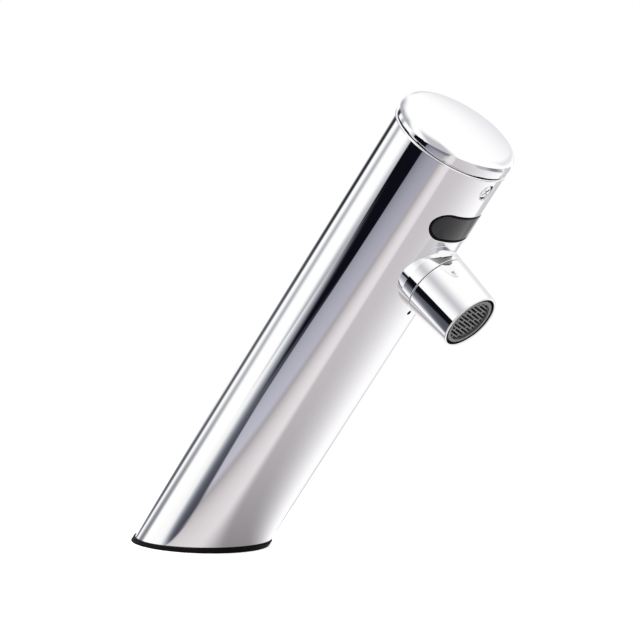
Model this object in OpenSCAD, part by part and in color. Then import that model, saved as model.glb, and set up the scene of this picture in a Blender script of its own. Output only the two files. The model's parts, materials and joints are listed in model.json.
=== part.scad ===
// Touch-free basin faucet: a leaning chromed tube with a domed cap, a smoked sensor window
// and a short tapered spout.
// Millimetres. +Z is up, the tube leans towards -Y, and the origin is where its axis meets the deck.
// Tube frame, used inside lean(): +Z runs up the tube, -Y is its front, and heights along it are called s.
// Spout frame, used inside spout(): +Z runs from the outlet back into the tube, and depths
// along it are called l.

/* [Tube] */
// Outer diameter of the tube
tube_d = 50; // [48:0.5:56]
// Wall thickness of the tube
tube_wall = 3.5; // [3:0.25:4]
// Lean of the tube from the vertical, in degrees
lean_deg = 38; // [34:0.5:40]
// Length along the axis, from the deck to the tube's top edge
tube_len = 216.5; // [214:0.5:250]
// Rounding of the tube's top edge
top_edge_r = 0.8; // [0.3:0.1:1.2]
// Diameter of the weep hole below the spout
weep_d = 2; // [1:0.5:3]
// Drop of the weep hole below the tube's top edge
weep_drop = 66; // [64:0.5:70]

/* [Foot] */
// Thickness of the rubber base pad
pad_t = 2; // [1:0.25:3]
// How far the pad stands proud of the tube all round
pad_proud = 0.6; // [0.2:0.1:1.5]
// Height of the brass foot block
foot_t = 14; // [13:0.5:16]
// Diameter of the threaded hole for the fixing stud
stud_d = 8; // [6:1:8]
// Distance of the stud hole from the back wall of the tube's bore, at the foot's top
stud_back = 5.8; // [5.4:0.1:6.2]
// Diameter of the threaded water inlet
inlet_d = 10; // [8:1:10]
// Depth of the threaded water inlet
inlet_thread_l = 9; // [7:0.5:9]
// Distance of the water inlet from the same wall
inlet_front = 25.8; // [25.2:0.1:26.4]
// Diameter of the cable hole in the foot block
cable_hole_d = 7; // [6:0.5:8]
// Distance of the cable hole from the side of the tube's bore
cable_side = 10.5; // [9.75:0.25:11.5]
// Bore of the cable grommet
cable_bore_d = 5; // [3:0.5:5]

/* [Cap] */
// Gap between the tube's top edge and the cap
cap_gap = 0.8; // [0.5:0.1:1.2]
// Height of the cap's straight rim
cap_rim_h = 1.6; // [1:0.1:3]
// Radius of the cap's rounded shoulder
cap_round = 4.6; // [3:0.1:6]
// Rise of the cap's crown above its shoulder
cap_crown = 1.2; // [0.6:0.1:2]
// Length of the cap's skirt inside the tube
skirt_l = 12; // [11:0.5:12.5]
// Wall thickness of the skirt
skirt_wall = 4; // [3.5:0.25:5]
// Drop of the cap screw below the tube's top edge
cap_screw_drop = 5.9; // [5.5:0.1:6.5]
// Thread diameter of the cap screw
cap_screw_d = 4; // [3:0.5:4]
// Head diameter of the cap screw
cap_head_d = 6.2; // [5.5:0.1:6.4]
// Head height of the cap screw
cap_head_h = 1.8; // [1.4:0.1:2]
// Diameter of the counterbore round the screw head
cap_counterbore_d = 7; // [6.8:0.1:7.6]
// Depth of that counterbore, from the tube's surface
cap_counterbore_t = 2.3; // [2:0.1:2.5]

/* [Sensor] */
// Width of the window opening
window_w = 30; // [28:0.5:31]
// Height of the window opening
window_h = 12.4; // [11:0.2:13]
// Drop of the window's centre below the tube's top edge
window_drop = 24.2; // [24:0.1:25]
// Depth of the window's face below the tube's surface
window_recess = 0.7; // [0.3:0.1:1.2]
// Thickness of the black seal round the window
window_seal_t = 0.5; // [0.3:0.1:0.8]
// Width of the flange behind the window
window_flange = 1.6; // [1:0.1:1.8]
// Thickness of that flange
window_flange_t = 1.3; // [1:0.1:1.4]
// Distance from the centre of the window to the emitter and the receiver
eye_offset = 7; // [6:0.25:8]
// Diameter of the emitter and the receiver
eye_d = 5; // [4:0.5:5]
// Thickness of the circuit board
board_t = 1.6; // [1:0.2:2]
// Width of the circuit board
board_w = 32; // [28:0.5:33]
// Height of the circuit board
board_h = 18; // [16:0.5:18.5]

/* [Spout] */
// Drop of the point where the spout's axis crosses the tube's axis, below the tube's top edge
spout_drop = 47.8; // [47:0.1:49]
// Tilt of the spout below square to the tube, in degrees
spout_tilt = 2; // [0:0.5:4]
// Reach of the spout in front of the tube, along the spout's axis
spout_reach = 25; // [24.6:0.1:29]
// Outer diameter at the outlet
outlet_d = 25.1; // [24.6:0.1:26]
// Growth of the spout's radius for each millimetre back from the outlet
spout_taper = 0.056; // [0.04:0.001:0.07]
// Length of the aerator housing
housing_l = 21; // [20.5:0.1:22]
// Gap at the seam between the housing and the collar
seam_gap = 0.2; // [0.15:0.05:0.4]
// Thread diameter between the collar and the housing
housing_thread_d = 22; // [21.8:0.1:22.2]
// Length of the collar's threaded end
collar_thread_l = 7; // [6:0.5:7.5]
// Radius of the rounded outlet rim
rim_r = 0.45; // [0.2:0.05:0.5]
// Wall of the housing at the outlet
mouth_wall = 1; // [0.8:0.05:1.1]
// Depth of the mouth in front of the retaining lip
mouth_t = 2.2; // [1.8:0.1:2.6]
// Diameter of the aerator's nose
nose_d = 21; // [20.4:0.1:21.2]
// Depth of the nose's ring behind the rim
nose_recess = 0.5; // [0.3:0.1:0.8]
// Width of the ring round the grille
nose_ring = 1.2; // [0.8:0.1:1.6]
// Depth of the grille behind that ring
grille_recess = 0.7; // [0.4:0.1:0.8]
// Number of slot rows in the grille
grille_rows = 13; // [8:1:15]
// Width of a bar between the slots
grille_bar = 0.55; // [0.4:0.05:0.7]
// Length of a slot with its bridge
grille_slot_l = 9; // [5:0.5:12]
// Width of a bridge between two bars
grille_bridge = 0.8; // [0.6:0.1:1.2]
// Direction of the bars, from the part's X axis
grille_turn = 24; // [0:1:90]
// Thickness of the grille
grille_t = 1.4; // [1:0.1:2]

/* [Waterway] */
// Outer diameter of the water pipes
pipe_d = 8; // [7:0.5:8]
// Bore of the water pipes
pipe_bore_d = 6; // [5:0.5:6]
// Bend radius of the inlet pipe at its centre line
bend_r = 14; // [12:0.5:15]
// Depth of the pipe sockets
socket_l = 8; // [7:0.5:9]
// Distance of the outlet pipe in front of the tube's axis
outlet_pipe_front = 12; // [11.5:0.1:12.5]
// Height of the inlet fitting above the foot block
fitting_h = 16; // [15:0.5:17]
// Outer diameter of the inlet fitting
fitting_d = 16; // [15:0.5:17]
// Width of the waterway block
block_w = 24; // [20:0.5:28]

/* [Valve] */
// Height of the valve body's lower face along the tube
valve_s = 58; // [56:0.5:64]
// Thickness of the valve body
valve_h = 20; // [18:0.5:22]
// Distance of the valve's axis behind the tube's axis
valve_back = 6; // [5.5:0.1:6]
// Radius of the valve seat's bore
seat_r = 3.5; // [3:0.1:4]
// Travel of the solenoid plunger
plunger_travel = 1.5; // [1:0.1:1.6]
// Lift of the diaphragm disc at full travel
disc_lift = 1.2; // [0.8:0.1:1.3]
// Radius of the solenoid plunger
plunger_r = 4.43; // [4.2:0.01:4.45]
// Radius of the solenoid coil
coil_r = 12; // [11:0.1:12]
// Height of the solenoid coil
coil_h = 18; // [16:0.5:20]
// Travel of the check valve
check_travel = 2; // [1:0.25:2.5]

/* [Fits] */
// Radial clearance of fixed round joints
fit_gap = 0.05; // [0.03:0.01:0.1]
// Radial clearance of parts that slide or turn
run_gap = 0.06; // [0.03:0.01:0.09]
// Clearance round pieces that lie loose in the tube's bore
loose_gap = 0.3; // [0.2:0.05:0.4]
// Gap between faces that press together
face_gap = 0.05; // [0.02:0.01:0.1]

/* [Hidden] */
$fn = 96;
far = 200;
tube_r = tube_d / 2;
bore_r = tube_r - tube_wall;
loose_r = bore_r - loose_gap;

// Foot
floor_z = pad_t + foot_t;
back_wall_y = bore_r / cos(lean_deg) - floor_z * tan(lean_deg);
stud_y = back_wall_y - stud_back;
inlet_y = back_wall_y - inlet_front;
cable_x = bore_r - cable_side;
fitting_seat_z = pad_t + inlet_thread_l + 1;
fitting_spigot_r = 7;
strainer_t = 0.6;

// Cap
cap_z0 = tube_len + cap_gap;
cap_shoulder_s = cap_z0 + cap_rim_h;
cap_flat_r = tube_r - cap_round;
cap_flat_s = cap_shoulder_s + cap_round;
crown_r = (cap_flat_r * cap_flat_r + cap_crown * cap_crown) / (2 * cap_crown);
cap_edge = 0.5;
skirt_r = loose_r;
skirt_s0 = tube_len - skirt_l;
cap_screw_s = tube_len - cap_screw_drop;
cap_screw_l = tube_wall - cap_counterbore_t + skirt_wall;
cap_seat_y = -(tube_r - cap_counterbore_t);
cap_seal_r = 0.75;
cap_groove_r = skirt_r - 1.3;
cap_seal_s = cap_screw_s + cap_screw_d / 2 + 1.8;

// Sensor
window_s = tube_len - window_drop;
lens_w = window_w - 2 * (window_seal_t + 2 * fit_gap);
lens_h = window_h - 2 * (window_seal_t + 2 * fit_gap);
lens_r = tube_r - window_recess;
flange_r = bore_r - 0.2;
window_back_r = flange_r - window_flange_t;
housing_r = window_back_r - face_gap;
board_y = -4.6;
board_screw_l = 4;
board_plug_h = 3;
eye_gap = 1.2;
eye_tip_y = eye_gap - sqrt(pow(window_back_r, 2) - pow(eye_offset, 2));
board_screw_x = board_w / 2 - 3;
board_screw_z = board_h / 2 - 2.6;

// Spout
spout_s = tube_len - spout_drop;
outlet_r = outlet_d / 2;
thread_r = housing_thread_d / 2;
collar_l = housing_l + seam_gap;
outlet_reach = spout_reach + tube_r;
collar_end_l = collar_l - collar_thread_l;
shoulder_l = collar_l - 1.2;
nipple_r = 7;
nipple_bore_r = 4.5;
nipple_flange_r = 9.3;
nipple_flange_t = 2.5;
washer_t = 0.8;
nipple_end_l = outlet_reach - bore_r + 5.6;
mouth_r = outlet_r - mouth_wall;
nose_r = nose_d / 2;
lip_t = 1.2;
lip_l = mouth_t + lip_t;
stack_r = thread_r - 0.1;
screen_t = 0.6;
regulator_t = 1.8;
shoulder_t = 1.6;
aerator_washer_t = 1.45;
screen_l = lip_l + shoulder_t + 2 * face_gap;
mixer_l = screen_l + screen_t + face_gap;
aerator_washer_l = collar_end_l - 2 * face_gap - aerator_washer_t;
regulator_l = aerator_washer_l - face_gap - regulator_t;
mixer_t = regulator_l - face_gap - mixer_l;

// Waterway
pipe_r = pipe_d / 2;
socket_r = pipe_r + 2 * fit_gap;
bend_z = floor_z + fitting_h + 2;
bend_end_y = inlet_y - bend_r * (1 - cos(lean_deg));
bend_end_z = bend_z + bend_r * sin(lean_deg);
inlet_pipe_y = bend_end_y * cos(lean_deg) + bend_end_z * sin(lean_deg);
inlet_pipe_s = -bend_end_y * sin(lean_deg) + bend_end_z * cos(lean_deg);
block_below = 17;
block_above = 11;
block_s0 = spout_s - block_below;
block_s1 = spout_s + block_above;
block_back_y = -6;
ring_r = 0.55;
groove_t = 1.4;
groove_r = pipe_r + 2 * ring_r + 2 * fit_gap;
seal_inset = 2.4;

// Valve, as heights along the tube
valve_top = valve_s + valve_h;
seat_s = valve_top - 1.5;
annulus_r = 10;
annulus_t = 6;
floor_t = 6;
membrane_r = 11.8;
membrane_t = 1;
disc_r = 6.5;
disc_s = seat_s + face_gap;
disc_top = valve_top + membrane_t + 0.9;
nub_h = 0.3;
bonnet_s = valve_top + membrane_t;
bonnet_flange_t = 4;
chamber_r = 9;
chamber_h = 5;
bonnet_h = 9;
bonnet_top = bonnet_s + bonnet_h;
bonnet_screw_r = 1.5;
bonnet_screw_l = 8;
bonnet_head_r = 2.6;
bonnet_circle_r = membrane_r + bonnet_screw_r + 0.17;
bonnet_bore_r = loose_r - bonnet_head_r - 0.1;
bonnet_fit_y = (pow(bonnet_bore_r, 2) - pow(bonnet_circle_r, 2) - pow(valve_back, 2)) / (2 * valve_back);
bonnet_screw_y = min(6.5, bonnet_fit_y);
bonnet_screw_x = sqrt(pow(bonnet_circle_r, 2) - pow(bonnet_screw_y, 2));
core_r = 5;
core_bore_r = plunger_r + run_gap;
yoke_t = 1.5;
yoke_w = 14;
yoke_s = bonnet_top + 0.1;
coil_s = yoke_s + yoke_t + 0.2;
coil_top = coil_s + coil_h;
yoke_top = coil_top + 0.2 + yoke_t;
core_top = yoke_top + 0.15;
core_end = core_top - 2.25;
plunger_tip = disc_top + nub_h + face_gap;
plunger_l = 19.5;
spring_pocket = 8;
spring_s = plunger_tip + plunger_l - spring_pocket + face_gap;
spring_l = core_end - face_gap - spring_s;

// Check valve, as heights above the deck
check_seat_z = fitting_seat_z + strainer_t + 2;
poppet_t = 2.4;
spider_rise = 9;
spider_z = check_seat_z + spider_rise;
spider_t = 1.5;
poppet_r = 4.8;
stem_r = 1.2;
check_chamber_r = 5.5;
pipe_socket_z = floor_z + fitting_h - 5;

// A stadium outline of width w and height h
function stadium(w, h) = [for (side = [-1, 1]) for (a = [-90:7.5:90])
    [side * (w / 2 - h / 2 + h / 2 * cos(a)), side * h / 2 * sin(a)]];

// Points and faces of a coil spring: rings of six points follow the helix
function coil_point(r, wire_r, length, turns, a, b) = [
    (r + wire_r * cos(b)) * cos(a),
    (r + wire_r * cos(b)) * sin(a),
    wire_r + (length - 2 * wire_r) * a / (360 * turns) + wire_r * sin(b)];
function coil_faces(sides, rings) = concat(
    [[for (k = [0:sides - 1]) k]],
    [for (i = [0:rings - 2]) for (k = [0:sides - 1]) each
        let (p = i * sides + k, q = i * sides + (k + 1) % sides)
        [[p, p + sides, q], [q, p + sides, q + sides]]],
    [[for (k = [sides - 1:-1:0]) (rings - 1) * sides + k]]);

// Points of a pipe's skin at its stations, and the faces between its outer and inner skin
function pipe_skin(stations, r, sides) = [for (at = stations) for (k = [0:sides - 1])
    let (b = k * 360 / sides) at[0] + r * [cos(b), sin(b) * cos(at[1]), sin(b) * sin(at[1])]];
function pipe_faces(sides, rings) = [for (k = [0:sides - 1]) each
    let (n = (k + 1) % sides, inner = sides * rings, end = sides * (rings - 1))
    concat([[n, k, inner + k], [n, inner + k, inner + n],
            [end + k, end + n, inner + end + n], [end + k, inner + end + n, inner + end + k]],
        [for (i = [0:rings - 2]) each let (p = i * sides + k, q = i * sides + n)
            [[p, q, p + sides], [q, q + sides, p + sides],
                [inner + p, inner + p + sides, inner + q],
                [inner + q, inner + p + sides, inner + q + sides]]])];

module coil_spring(r, wire_r, length, turns) {
    sides = 6;
    steps = 12;
    rings = turns * steps + 1;
    polyhedron(points = [for (i = [0:rings - 1]) for (k = [0:sides - 1])
            coil_point(r, wire_r, length, turns, i * 360 / steps, k * 360 / sides)],
        faces = coil_faces(sides, rings), convexity = 8);
}

module lean() {
    rotate([lean_deg, 0, 0]) children();
}

module spout() {
    lean() translate([0, 0, spout_s]) rotate([spout_tilt - 90, 0, 0])
        translate([0, 0, -outlet_reach]) children();
}

// Everything above a level height
module above(z) {
    translate([-far, -far, z]) cube(2 * far);
}

// A round rod along the tube between two heights
module rod(r, s0, s1, y = 0, x = 0) {
    translate([x, y, s0]) cylinder(r = r, h = s1 - s0);
}

// A flat ring along +Z between two heights
module ring(r_in, r_out, z0, z1) {
    difference() {
        translate([0, 0, z0]) cylinder(r = r_out, h = z1 - z0);
        translate([0, 0, z0 - 1]) cylinder(r = r_in, h = z1 - z0 + 2);
    }
}

// A rubber O-ring round +Z
module o_ring(r, section_r) {
    rotate_extrude() translate([r, 0]) circle(r = section_r);
}

// A stadium prism that points out of the tube's front at the window
module window_prism(w, h) {
    translate([0, 0, window_s]) rotate([90, 0, 0])
        linear_extrude(height = tube_r + 5) polygon(stadium(w, h));
}

// Outside of the tube, from below the deck to its rounded top edge
module tube_outside() {
    edge_c = [tube_r - top_edge_r, tube_len - top_edge_r];
    rotate_extrude() polygon(concat([[0, -tube_d], [tube_r, -tube_d]],
        [for (a = [0:15:90]) edge_c + top_edge_r * [cos(a), sin(a)]],
        [[0, tube_len]]));
}

module body_tube() {
    color("silver") difference() {
        intersection() {
            lean() difference() {
                tube_outside();
                rod(bore_r, -tube_d - 1, tube_len + 1);
            }
            above(pad_t);
        }
        lean() {
            window_prism(window_w, window_h);
            translate([0, 0, cap_screw_s]) rotate([90, 0, 0]) {
                cylinder(r = cap_screw_d / 2 + 2 * fit_gap, h = tube_r);
                translate([0, 0, -cap_seat_y]) cylinder(r = cap_counterbore_d / 2, h = tube_r);
            }
            translate([0, 0, tube_len - weep_drop]) rotate([90, 0, 0])
                cylinder(r = weep_d / 2, h = tube_r + 1);
        }
        spout() rod(nipple_r + 2 * fit_gap, 0, outlet_reach);
    }
}

module foot_block() {
    color("goldenrod") difference() {
        intersection() {
            lean() rod(bore_r - fit_gap, -tube_d, tube_d * 2);
            above(pad_t);
            translate([-far, -far, -far]) cube([2 * far, 2 * far, far + floor_z]);
        }
        translate([0, stud_y, 0]) cylinder(r = stud_d / 2, h = far);
        translate([cable_x, 0, 0]) cylinder(r = cable_hole_d / 2, h = far);
        translate([0, inlet_y, 0]) {
            cylinder(r = inlet_d / 2, h = pad_t + inlet_thread_l);
            cylinder(r = seat_r, h = far);
            translate([0, 0, fitting_seat_z]) cylinder(r = fitting_spigot_r, h = far);
        }
    }
}

module base_pad() {
    color([0.08, 0.08, 0.09]) difference() {
        intersection() {
            lean() rod(tube_r + pad_proud, -tube_d, tube_d);
            translate([-far, -far, 0]) cube([2 * far, 2 * far, pad_t]);
        }
        translate([0, stud_y, -1]) cylinder(r = stud_d / 2 + 0.5, h = far);
        translate([0, inlet_y, -1]) cylinder(r = inlet_d / 2 + 1, h = far);
        translate([cable_x, 0, -1]) cylinder(r = cable_hole_d / 2, h = far);
    }
}

module cable_grommet() {
    flange_t = 1.5;
    color([0.1, 0.1, 0.11]) translate([cable_x, 0, 0]) difference() {
        union() {
            translate([0, 0, pad_t]) cylinder(r = cable_hole_d / 2 - fit_gap, h = foot_t);
            translate([0, 0, floor_z]) cylinder(r = cable_hole_d / 2 + 1.2, h = flange_t);
        }
        cylinder(r = cable_bore_d / 2, h = far);
    }
}

// The cap is one turned piece: a domed head over a skirt that drops into the tube
module top_cap() {
    inner_r = skirt_r - skirt_wall;
    color("whitesmoke") lean() difference() {
        rotate_extrude() polygon(concat(
            [[0, cap_shoulder_s], [inner_r, cap_shoulder_s], [inner_r, skirt_s0], [skirt_r, skirt_s0],
                [skirt_r, cap_z0], [tube_r - cap_edge, cap_z0], [tube_r, cap_z0 + cap_edge]],
            [for (a = [0:7.5:90]) [cap_flat_r + cap_round * cos(a), cap_shoulder_s + cap_round * sin(a)]],
            [for (r = [cap_flat_r * 0.8:-cap_flat_r * 0.2:-0.01])
                [max(r, 0), cap_flat_s + cap_crown - (crown_r - sqrt(crown_r * crown_r - r * r))]]));
        translate([0, 0, cap_seal_s])
            ring(cap_groove_r, tube_r, -cap_seal_r - 4 * fit_gap, cap_seal_r + 4 * fit_gap);
        translate([0, 0, cap_screw_s]) rotate([90, 0, 0])
            cylinder(r = cap_screw_d / 2 + fit_gap, h = tube_r);
    }
}

module cap_seal() {
    color([0.1, 0.1, 0.1]) lean() translate([0, 0, cap_seal_s])
        o_ring(cap_groove_r + fit_gap + cap_seal_r, cap_seal_r);
}

// Pan-head screw with a cross recess; its axis points out of the tube's front
module cap_screw() {
    recess_t = 1.1;
    recess_w = 0.9;
    recess_l = 3.6;
    color("lightgray") lean() translate([0, cap_seat_y, cap_screw_s]) rotate([90, 0, 0]) difference() {
        union() {
            translate([0, 0, -cap_screw_l]) cylinder(r = cap_screw_d / 2, h = cap_screw_l + 0.1);
            translate([0, 0, face_gap]) cylinder(r = cap_head_d / 2, h = cap_head_h * 0.6);
            translate([0, 0, face_gap + cap_head_h * 0.6])
                cylinder(r1 = cap_head_d / 2, r2 = cap_head_d / 2 - 0.9, h = cap_head_h * 0.4);
        }
        for (turn = [45, 135]) rotate(turn)
            translate([-recess_l / 2, -recess_w / 2, cap_head_h + face_gap - recess_t])
                cube([recess_l, recess_w, recess_t + 1]);
    }
}

module sensor_window() {
    color([0.12, 0.11, 0.14]) lean() {
        intersection() {
            window_prism(lens_w, lens_h);
            ring(window_back_r, lens_r, window_s - window_h, window_s + window_h);
        }
        intersection() {
            window_prism(window_w + 2 * window_flange, window_h + 2 * window_flange);
            ring(window_back_r, flange_r, window_s - window_h, window_s + window_h);
        }
    }
}

module window_seal() {
    color([0.04, 0.04, 0.05]) lean() intersection() {
        difference() {
            window_prism(window_w - 2 * fit_gap, window_h - 2 * fit_gap);
            window_prism(lens_w + 2 * fit_gap, lens_h + 2 * fit_gap);
        }
        ring(flange_r + face_gap, lens_r + 0.2, window_s - window_h, window_s + window_h);
    }
}

// Black carrier behind the window, with a pocket for each eye and the board on its flat back
module sensor_housing() {
    half_h = board_h / 2 + 0.6;
    color([0.15, 0.15, 0.16]) lean() difference() {
        intersection() {
            rod(housing_r, window_s - half_h + 1.2, window_s + half_h);
            translate([-far, -far, 0]) cube([2 * far, far + board_y, far * 2]);
        }
        for (x = [-eye_offset, eye_offset]) translate([x, 0, window_s]) rotate([90, 0, 0])
            cylinder(r = eye_d / 2 + fit_gap, h = tube_r);
        for (x = [-board_screw_x, board_screw_x]) translate([x, board_y + 1, window_s + board_screw_z])
            rotate([90, 0, 0]) cylinder(r = 0.95, h = 6);
    }
}

// A round-nosed infrared diode that looks out through the window
module eye(x) {
    lean() translate([x, board_y - face_gap, window_s]) rotate([90, 0, 0]) {
        body_l = -eye_tip_y + board_y - eye_d / 2;
        rotate_extrude() polygon(concat([[0, 0], [eye_d / 2, 0]],
            [for (a = [0:15:90]) [eye_d / 2 * cos(a), body_l + eye_d / 2 * sin(a)]]));
    }
}

module ir_emitter() {
    color([0.75, 0.8, 0.95]) eye(-eye_offset);
}

module ir_receiver() {
    color([0.1, 0.08, 0.12]) eye(eye_offset);
}

// Circuit board with one chip and a plug strip on its back
module sensor_board() {
    chip_w = 8;
    chip_t = 1.4;
    color("seagreen") lean() translate([0, 0, window_s]) difference() {
        union() {
            translate([-board_w / 2, board_y + face_gap, -board_h / 2]) cube([board_w, board_t, board_h]);
            translate([0, board_y + face_gap + board_t, 0]) {
                translate([-chip_w / 2, 0, -chip_w / 2]) cube([chip_w, chip_t, chip_w]);
                translate([-chip_w / 2, 0, -board_h / 2]) cube([chip_w, 2 * chip_t, board_plug_h]);
            }
        }
        for (x = [-board_screw_x, board_screw_x]) translate([x, 2, board_screw_z]) rotate([90, 0, 0])
            cylinder(r = 1.1, h = board_w);
    }
}

module board_screws() {
    color("silver") lean() for (x = [-board_screw_x, board_screw_x])
        translate([x, board_y + 2 * face_gap + board_t, window_s + board_screw_z]) rotate([90, 0, 0]) {
            translate([0, 0, -1.2]) cylinder(r = 1.9, h = 1.2);
            cylinder(r = 0.9, h = board_t + board_screw_l);
        }
}

// Radius of the spout's outside at depth l
function spout_r(l) = outlet_r + spout_taper * l;

// Turned collar, cut to the tube's surface behind and threaded in front
module spout_collar() {
    rear_l = outlet_reach;
    color("silver") difference() {
        spout() difference() {
            union() {
                translate([0, 0, collar_l])
                    cylinder(r1 = spout_r(collar_l), r2 = spout_r(rear_l), h = rear_l - collar_l);
                rod(thread_r, collar_end_l, collar_l + 1);
            }
            rod(nipple_r + 2 * fit_gap, 0, rear_l + 1);
            rod(nipple_flange_r + 2 * fit_gap, 0, shoulder_l);
        }
        lean() rod(tube_r, 0, tube_len);
    }
}

// Hollow screw that clamps the collar and the tube's wall to the waterway block
module spout_nipple() {
    head_l = shoulder_l - washer_t - nipple_flange_t;
    color("goldenrod") spout() difference() {
        union() {
            rod(nipple_flange_r, head_l, head_l + nipple_flange_t);
            rod(nipple_r, head_l + nipple_flange_t, nipple_end_l);
        }
        rod(nipple_bore_r, 0, outlet_reach);
        translate([0, 0, head_l - 1]) cylinder(r = nipple_bore_r + 1.2, h = 2.6, $fn = 6);
    }
}

module spout_washer() {
    front_l = shoulder_l - washer_t;
    color([0.1, 0.1, 0.1]) spout()
        ring(nipple_r + 2 * fit_gap, nipple_flange_r, front_l + face_gap, shoulder_l - face_gap);
}

// Moulded block that turns the water from the outlet pipe into the spout
module waterway_block() {
    color([0.25, 0.25, 0.28]) difference() {
        lean() difference() {
            intersection() {
                rod(loose_r, block_s0, block_s1);
                translate([-block_w / 2, -far, 0]) cube([block_w, far + block_back_y, 2 * far]);
            }
            rod(socket_r, block_s0 - 1, block_s0 + socket_l, -outlet_pipe_front);
            rod(pipe_bore_d / 2, block_s0, spout_s, -outlet_pipe_front);
            rod(groove_r, block_s0 + seal_inset, block_s0 + seal_inset + groove_t, -outlet_pipe_front);
        }
        spout() {
            rod(nipple_r + fit_gap, 0, nipple_end_l + 0.2);
            rod(nipple_r - 1, 0, outlet_reach + block_back_y - 2);
        }
    }
}

// Tapered chromed sleeve with a rounded rim, a retaining lip and the thread behind
module aerator_housing() {
    rim_c = (mouth_r + outlet_r) / 2;
    rim_w = (outlet_r - mouth_r) / 2;
    chamfer = 0.2;
    color("silver") spout() rotate_extrude() polygon(concat(
        [[mouth_r, mouth_t], [mouth_r, rim_r]],
        [for (a = [180:30:360]) [rim_c + rim_w * cos(a), rim_r + rim_r * sin(a)]],
        [[spout_r(housing_l - chamfer), housing_l - chamfer], [spout_r(housing_l) - chamfer, housing_l],
            [thread_r + run_gap, housing_l], [thread_r + run_gap, lip_l], [nose_r + fit_gap, lip_l],
            [nose_r + fit_gap, mouth_t]]));
}

// Nose of the aerator: a ring round rows of staggered slots
module aerator_grille() {
    grille_r = nose_r - nose_ring;
    pitch = 2 * grille_r / grille_rows;
    grille_l = nose_recess + grille_recess;
    copies = ceil(nose_d / grille_slot_l);
    color([0.55, 0.55, 0.57]) spout() {
        difference() {
            union() {
                rod(nose_r, nose_recess, lip_l + face_gap);
                rod(stack_r, lip_l + face_gap, lip_l + face_gap + shoulder_t);
            }
            rod(grille_r, 0, grille_l);
            rod(grille_r, grille_l + grille_t, lip_l + shoulder_t + 1);
            intersection() {
                rod(grille_r - 0.2, 0, lip_l + shoulder_t + 1);
                rotate(grille_turn - 90) for (row = [0:grille_rows - 1]) for (k = [-copies:copies]) {
                    slot_x = -grille_r + pitch * row + grille_bar / 2;
                    slot_y = (k + (row % 3) / 3) * grille_slot_l + grille_bridge / 2;
                    translate([slot_x, slot_y, 0])
                        cube([pitch - grille_bar, grille_slot_l - grille_bridge, far]);
                }
            }
        }
    }
}

module aerator_screen() {
    hole_r = 0.55;
    color("lightgray") spout() difference() {
        rod(stack_r, screen_l, screen_l + screen_t);
        for (i = [-4:4]) for (j = [-4:4]) if (i * i + j * j < 18)
            translate([i * 2, j * 2, 0]) cylinder(r = hole_r, h = far, $fn = 8);
    }
}

// Mixing cup with air slots in its wall
module aerator_mixer() {
    color([0.85, 0.85, 0.87]) spout() translate([0, 0, mixer_l]) difference() {
        cylinder(r = stack_r, h = mixer_t);
        translate([0, 0, 1]) cylinder(r = stack_r - 1.4, h = mixer_t);
        for (turn = [0:45:315]) rotate(turn) translate([stack_r - 5, 0, -1]) cylinder(r = 0.9, h = mixer_t);
        translate([0, 0, -1]) cylinder(r = 2, h = mixer_t);
    }
}

module flow_regulator() {
    color([0.2, 0.45, 0.75]) spout() translate([0, 0, regulator_l]) difference() {
        cylinder(r = stack_r - 0.1, h = regulator_t);
        for (turn = [0:60:300]) rotate(turn) translate([5, 0, -1]) cylinder(r = 1.3, h = regulator_t + 2);
    }
}

module aerator_washer() {
    color([0.1, 0.1, 0.1]) spout()
        ring(nipple_flange_r - 0.7, stack_r, aerator_washer_l, aerator_washer_l + aerator_washer_t);
}

module outlet_pipe() {
    s0 = valve_top - socket_l + 0.2;
    s1 = block_s0 + socket_l - 0.2;
    color("peru") lean() translate([0, -outlet_pipe_front, 0]) ring(pipe_bore_d / 2, pipe_r, s0, s1);
}

// Rises from the fitting, bends over to the tube's lean and runs on into the valve body
module inlet_pipe() {
    sides = 24;
    bend_steps = 6;
    start_z = pipe_socket_z + 0.2;
    upper_l = valve_s + socket_l - 0.2 - inlet_pipe_s;
    end = [0, bend_end_y - upper_l * sin(lean_deg), bend_end_z + upper_l * cos(lean_deg)];
    // Centre and lean of each ring along the pipe
    stations = concat([[[0, inlet_y, start_z], 0]],
        [for (i = [0:bend_steps]) let (a = lean_deg * i / bend_steps)
            [[0, inlet_y - bend_r * (1 - cos(a)), bend_z + bend_r * sin(a)], a]],
        [[end, lean_deg]]);
    color("peru") polyhedron(
        points = concat(pipe_skin(stations, pipe_r, sides), pipe_skin(stations, pipe_bore_d / 2, sides)),
        faces = pipe_faces(sides, len(stations)), convexity = 6);
}

// One O-ring at each pipe socket
module pipe_seals() {
    ring_centre = pipe_r + fit_gap + ring_r;
    color([0.1, 0.1, 0.1]) lean() {
        for (seat = [[inlet_pipe_y, valve_s + seal_inset + groove_t / 2],
                [-outlet_pipe_front, valve_top - seal_inset - groove_t / 2],
                [-outlet_pipe_front, block_s0 + seal_inset + groove_t / 2]])
            translate([0, seat[0], seat[1]]) o_ring(ring_centre, ring_r);
    }
}

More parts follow.
